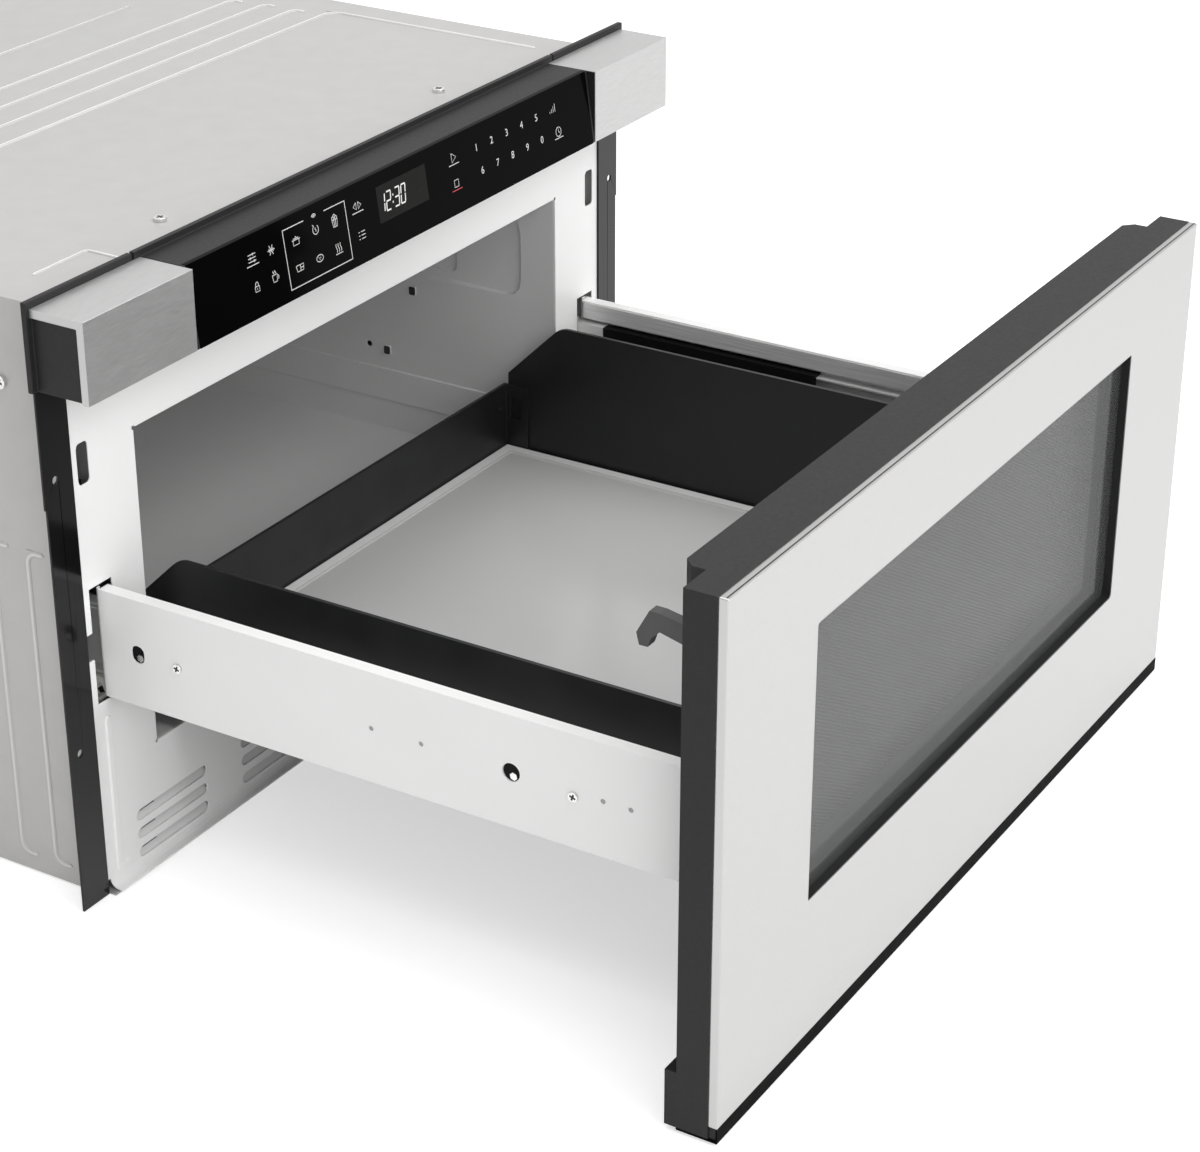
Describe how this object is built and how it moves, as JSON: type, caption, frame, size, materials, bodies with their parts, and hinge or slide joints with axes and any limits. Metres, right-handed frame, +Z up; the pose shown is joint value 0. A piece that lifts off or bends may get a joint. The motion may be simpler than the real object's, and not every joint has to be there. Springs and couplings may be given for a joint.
{
  "type": "microwave drawer",
  "caption": "Built-in microwave oven as a drawer: steel case, sloping control panel, and a windowed front that runs out on side rails with a low open bin.",
  "frame": {"origin": "on the base, on the centre line, in the plane of the kitchen cabinet's face that the mounting flange and strips sit against", "axes": "+X right as seen from the front, +Y into the cabinet, +Z up; the drawer runs out towards -Y"},
  "size_m": [0.6064, 0.9826, 0.3802],
  "materials": {
    "case_steel": "satin light grey",
    "white_paint": "satin white",
    "liner_grey": "satin grey",
    "bin_black": "matt black",
    "strip_black": "gloss black",
    "dark_plastic": "fine matt",
    "panel_black": "polished",
    "face_steel": "brushed",
    "zinc_steel": "zinc plated",
    "clear_glass": "tinted clear",
    "ceramic_white": "glazed",
    "board_green": "solder mask",
    "black_rubber": "matt",
    "gear_plastic": "natural nylon",
    "fin_aluminium": "bare",
    "core_iron": "laminated",
    "winding_wire": "enamelled",
    "bright_screw": "plated",
    "cover_mica": "matt"
  },
  "bodies": {
    "cabinet": {"outer_case": "case_steel", "case_screws": "bright_screw", "base_pan": "zinc_steel", "rear_panel": "case_steel", "cord_grommet": "black_rubber", "front_plate": "white_paint", "cavity_liner": "liner_grey", "stirrer_cover": "cover_mica", "cavity_lamp": "clear_glass", "mounting_strip_left": "strip_black", "mounting_strip_right": "strip_black", "end_block_left": "dark_plastic", "end_block_right": "dark_plastic", "end_cap_left": "face_steel", "end_cap_right": "face_steel", "panel_housing": "dark_plastic", "control_glass": "panel_black", "control_board": "board_green", "display_module": "dark_plastic", "slide_outer_left": "zinc_steel", "slide_outer_right": "zinc_steel", "slide_bracket_left": "zinc_steel", "slide_bracket_right": "zinc_steel", "drive_gearbox": "dark_plastic", "drive_motor": "zinc_steel", "latch_bracket_left": "zinc_steel", "latch_bracket_right": "zinc_steel", "interlock_switches": "dark_plastic", "waveguide": "zinc_steel", "stirrer_motor": "zinc_steel", "magnetron": "fin_aluminium", "transformer_core": "core_iron", "transformer_windings": "winding_wire", "high_voltage_capacitor": "fin_aluminium", "fan_shroud": "dark_plastic", "fan_motor": "core_iron"},
    "drawer": {"front_skin": "face_steel", "bottom_trim": "strip_black", "door_frame": "dark_plastic", "window_glass": "clear_glass", "window_screen": "zinc_steel", "choke_panel": "bin_black", "rail_cover_left": "white_paint", "rail_cover_right": "white_paint", "cover_screws": "bright_screw", "slide_inner_left": "zinc_steel", "slide_inner_right": "zinc_steel", "drive_rack": "gear_plastic", "bin_wall_left": "bin_black", "bin_wall_right": "bin_black", "bin_rear_wall": "bin_black", "bin_floor_pan": "bin_black", "ceramic_floor": "ceramic_white"},
    "slide_middle_left": {"slide_middle_left": "zinc_steel"},
    "slide_middle_right": {"slide_middle_right": "zinc_steel"},
    "latch_hook_left": {"latch_hook_left": "dark_plastic"},
    "latch_hook_right": {"latch_hook_right": "dark_plastic"},
    "drive_pinion": {"drive_pinion": "gear_plastic"},
    "stirrer": {"stirrer": "fin_aluminium"},
    "fan_blade": {"fan_blade": "dark_plastic"}
  },
  "joints": [
    {"name": "drawer_slide", "type": "slide", "parent": "cabinet", "child": "drawer", "axis": [0, -1, 0], "range_m": [-0.3828, 0]},
    {"name": "middle_slide_left", "type": "slide", "parent": "cabinet", "child": "slide_middle_left", "axis": [0, -1, 0], "range_m": [-0.1914, 0]},
    {"name": "middle_slide_right", "type": "slide", "parent": "cabinet", "child": "slide_middle_right", "axis": [0, -1, 0], "range_m": [-0.1914, 0]},
    {"name": "pinion_spin", "type": "hinge", "parent": "cabinet", "child": "drive_pinion", "pos_m": [-0.2559, 0.026, 0.1115], "axis": [1, 0, 0], "range_deg": [-1256, 1]},
    {"name": "hook_swing_left", "type": "hinge", "parent": "drawer", "child": "latch_hook_left", "pos_m": [-0.2651, -0.392, 0.271], "axis": [1, 0, 0], "range_deg": [0, 10], "stiffness_Nm_per_rad": 0.3, "springref_deg": -11.46},
    {"name": "hook_swing_right", "type": "hinge", "parent": "drawer", "child": "latch_hook_right", "pos_m": [0.2651, -0.392, 0.271], "axis": [1, 0, 0], "range_deg": [0, 10], "stiffness_Nm_per_rad": 0.3, "springref_deg": -11.46},
    {"name": "stirrer_spin", "type": "hinge", "parent": "cabinet", "child": "stirrer", "pos_m": [0, 0.22, 0.3], "axis": [0, 0, 1], "continuous": true},
    {"name": "fan_spin", "type": "hinge", "parent": "cabinet", "child": "fan_blade", "pos_m": [0.17, 0.54, 0.15], "axis": [0, 1, 0], "continuous": true}
  ],
  "couplings": [
    {"joint": "middle_slide_left", "follows": "drawer_slide", "ratio": 0.5},
    {"joint": "middle_slide_right", "follows": "drawer_slide", "ratio": 0.5},
    {"joint": "pinion_spin", "follows": "drawer_slide", "rad_per_m": 57.143}
  ]
}
